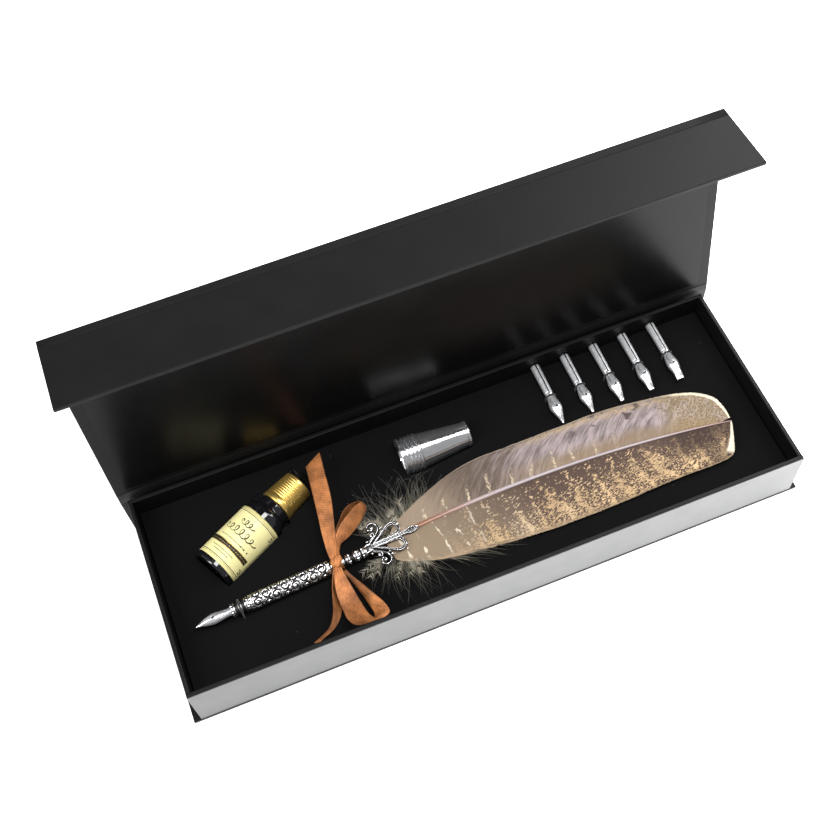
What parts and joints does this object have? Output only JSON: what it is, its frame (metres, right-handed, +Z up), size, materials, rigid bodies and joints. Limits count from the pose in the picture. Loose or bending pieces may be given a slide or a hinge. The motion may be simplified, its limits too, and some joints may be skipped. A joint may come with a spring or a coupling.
{
  "type": "quill pen gift box",
  "caption": "Hinged card gift box with a folding front flap, open on a tray with a feather quill pen, ink bottle, pen stand and spare nibs.",
  "frame": {"origin": "on the table, under the middle of the tray", "axes": "+X along the box to the right, +Y to the hinged back, +Z up"},
  "size_m": [0.307, 0.1234, 0.1457],
  "materials": {
    "black_paper": "fine-grained matt black paper",
    "black_lining": "smooth semi-gloss black paper",
    "crease_paper": "folded black paper",
    "foam": "soft black foam",
    "flock": "black flock",
    "magnet": "plain",
    "elastic": "matt",
    "dark_glass": "glossy",
    "ink": "liquid",
    "label": "printed cream paper",
    "gold": "bright gold",
    "liner": "soft disc",
    "chrome": "mirror polished",
    "nib_steel": "polished",
    "antique_silver": "cast relief, darkened in its hollows",
    "quill": "satin",
    "vane": "barbed feather",
    "down": "loose down",
    "ribbon": "copper satin"
  },
  "bodies": {
    "case": {"bottom_board": "black_paper", "base_crease": "crease_paper", "spine_board": "black_paper", "lid_crease": "crease_paper", "tray_base_board": "black_paper", "tray_front_wall": "black_paper", "tray_back_wall": "black_paper", "tray_left_wall": "black_paper", "tray_right_wall": "black_paper", "front_wall_paper": "black_paper", "tray_magnets": "magnet", "insert_foam": "foam", "insert_card": "flock", "nib_tie_1": "elastic", "nib_tie_2": "elastic", "nib_tie_3": "elastic", "nib_tie_4": "elastic", "nib_tie_5": "elastic", "pen_tie": "elastic"},
    "lid": {"lid_board": "black_paper", "lid_lining": "black_lining", "flap_crease": "crease_paper"},
    "flap": {"flap_board": "black_paper", "flap_lining": "black_lining", "flap_magnets": "magnet"},
    "bottle": {"bottle_glass": "dark_glass", "ink": "ink", "bottle_label": "label"},
    "cap_liner": {"cap_liner": "liner"},
    "cap": {"cap_shell": "gold"},
    "pen": {"nib_holder": "nib_steel", "front_collar": "antique_silver", "pen_barrel": "antique_silver", "pen_neck": "antique_silver", "crest": "antique_silver", "quill": "quill", "upper_vane": "vane", "lower_vane": "vane", "down_tuft": "down", "ribbon_bow": "ribbon"},
    "pen_nib": {"pen_nib": "nib_steel"},
    "stand": {"pen_stand": "chrome"},
    "nib_1": {"spare_nib_1": "nib_steel"},
    "nib_2": {"spare_nib_2": "nib_steel"},
    "nib_3": {"spare_nib_3": "nib_steel"},
    "nib_4": {"spare_nib_4": "nib_steel"},
    "nib_5": {"spare_nib_5": "nib_steel"}
  },
  "joints": [
    {"name": "lid_hinge", "type": "hinge", "parent": "case", "child": "lid", "pos_m": [0, 0.05255, 0.0352], "axis": [-1, 0, 0], "range_deg": [-99.8, 80.2]},
    {"name": "flap_hinge", "type": "hinge", "parent": "lid", "child": "flap", "pos_m": [0, 0.07097, 0.14182], "axis": [1, 0, 0], "range_deg": [-85, 19]},
    {"name": "bottle_lift", "type": "slide", "parent": "case", "child": "bottle", "axis": [0, 0, 1], "range_m": [0, 0.08]},
    {"name": "cap_rise", "type": "slide", "parent": "bottle", "child": "cap_liner", "axis": [0.8878, 0.4602, 0], "range_m": [0, 0.00361]},
    {"name": "cap_turn", "type": "hinge", "parent": "cap_liner", "child": "cap", "pos_m": [-0.1236, 0.0067, 0.0225], "axis": [0.8878, 0.4602, 0], "range_deg": [0, 540]},
    {"name": "pen_lift", "type": "slide", "parent": "case", "child": "pen", "axis": [0, 0, 1], "range_m": [0, 0.08], "deforming": ["pen_tie"]},
    {"name": "nib_pull", "type": "slide", "parent": "pen", "child": "pen_nib", "axis": [-0.9982, -0.0593, 0], "range_m": [0, 0.009]},
    {"name": "stand_lift", "type": "slide", "parent": "case", "child": "stand", "axis": [0, 0, 1], "range_m": [0, 0.08]},
    {"name": "nib_1_lift", "type": "slide", "parent": "case", "child": "nib_1", "axis": [0, 0, 1], "range_m": [0, 0.06], "deforming": ["nib_tie_1"]},
    {"name": "nib_2_lift", "type": "slide", "parent": "case", "child": "nib_2", "axis": [0, 0, 1], "range_m": [0, 0.06], "deforming": ["nib_tie_2"]},
    {"name": "nib_3_lift", "type": "slide", "parent": "case", "child": "nib_3", "axis": [0, 0, 1], "range_m": [0, 0.06], "deforming": ["nib_tie_3"]},
    {"name": "nib_4_lift", "type": "slide", "parent": "case", "child": "nib_4", "axis": [0, 0, 1], "range_m": [0, 0.06], "deforming": ["nib_tie_4"]},
    {"name": "nib_5_lift", "type": "slide", "parent": "case", "child": "nib_5", "axis": [0, 0, 1], "range_m": [0, 0.06], "deforming": ["nib_tie_5"]}
  ],
  "couplings": [
    {"joint": "cap_rise", "follows": "cap_turn", "m_per_rad": 0.00038197}
  ]
}
